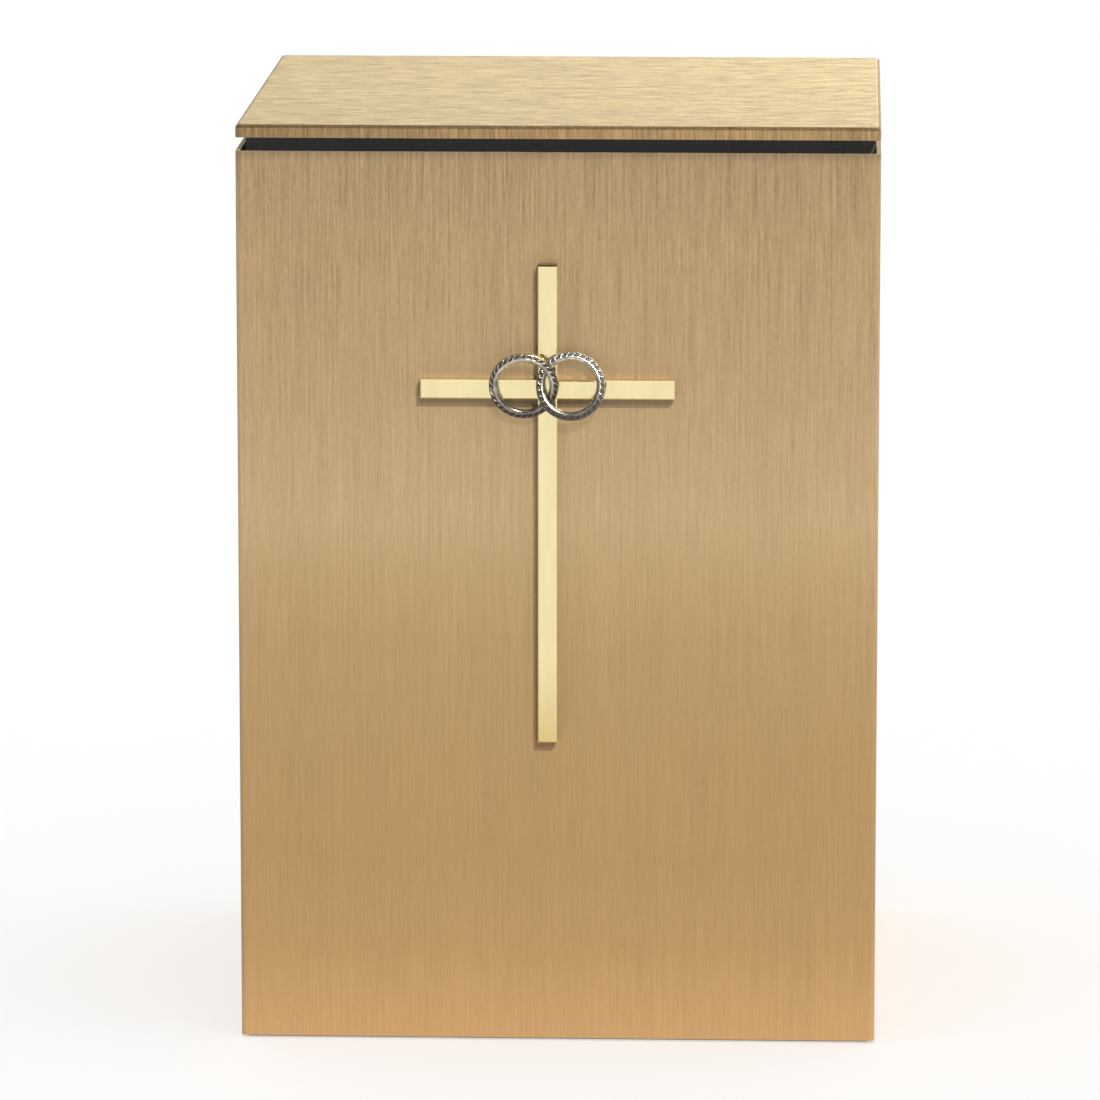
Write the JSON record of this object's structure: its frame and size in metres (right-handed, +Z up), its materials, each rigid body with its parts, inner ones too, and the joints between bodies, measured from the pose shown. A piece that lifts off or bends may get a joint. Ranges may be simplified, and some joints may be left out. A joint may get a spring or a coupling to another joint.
{
  "type": "donation box",
  "caption": "Upright folded-bronze donation box: open deposit gap under a flat lid, brass cross with linked bands on the front, keyed rear door, felt base.",
  "frame": {"origin": "centre of the felt base pad's underside, on the surface the box stands on", "axes": "+Z up, -Y the front with the cross, +Y the rear with the door, +X to the right seen from the front"},
  "size_m": [0.216, 0.2436, 0.314],
  "materials": {
    "satin_bronze": "satin brushed bronze, straight grain",
    "black_coat": "matte black powder coat",
    "zinc_steel": "bright zinc-plated steel",
    "felt": "dark brown-black wool felt",
    "polished_brass": "polished and lacquered",
    "antique_silver": "antique silver plate, dark in the recesses",
    "nickel_plate": "satin nickel plate"
  },
  "bodies": {
    "box": {"body_shell": "satin_bronze", "back_frame": "satin_bronze", "lid_pan": "satin_bronze", "base_tray": "zinc_steel", "base_pad": "felt", "inner_collar": "black_coat", "throat_plate": "black_coat", "lid_studs": "zinc_steel", "lid_nuts": "zinc_steel", "collar_studs": "zinc_steel", "collar_nuts": "zinc_steel", "cross": "polished_brass", "cross_studs": "zinc_steel", "cross_nuts": "zinc_steel", "ring_posts": "polished_brass", "ring_left": "antique_silver", "ring_right": "antique_silver", "hinge_frame_leaf_lower": "polished_brass", "hinge_frame_leaf_upper": "polished_brass", "hinge_pin_lower": "polished_brass", "hinge_pin_upper": "polished_brass", "hinge_rivets_frame": "polished_brass"},
    "door": {"access_door": "satin_bronze", "hinge_door_leaf_lower": "polished_brass", "hinge_door_leaf_upper": "polished_brass", "hinge_rivets_door": "polished_brass", "lock_barrel": "nickel_plate", "lock_nut": "nickel_plate"},
    "lock_rotor": {"lock_plug": "nickel_plate", "lock_cam": "zinc_steel", "cam_screw": "zinc_steel"},
    "key": {"key": "nickel_plate"}
  },
  "joints": [
    {"name": "door_hinge", "type": "hinge", "parent": "box", "child": "door", "pos_m": [-0.078, 0.1048, 0.148], "axis": [0, 0, 1], "range_deg": [0, 175]},
    {"name": "lock_turn", "type": "hinge", "parent": "door", "child": "lock_rotor", "pos_m": [0.058, 0.095, 0.148], "axis": [0, -1, 0], "range_deg": [0, 90]},
    {"name": "key_slide", "type": "slide", "parent": "lock_rotor", "child": "key", "axis": [0, 1, 0], "range_m": [0, 0.03]}
  ]
}
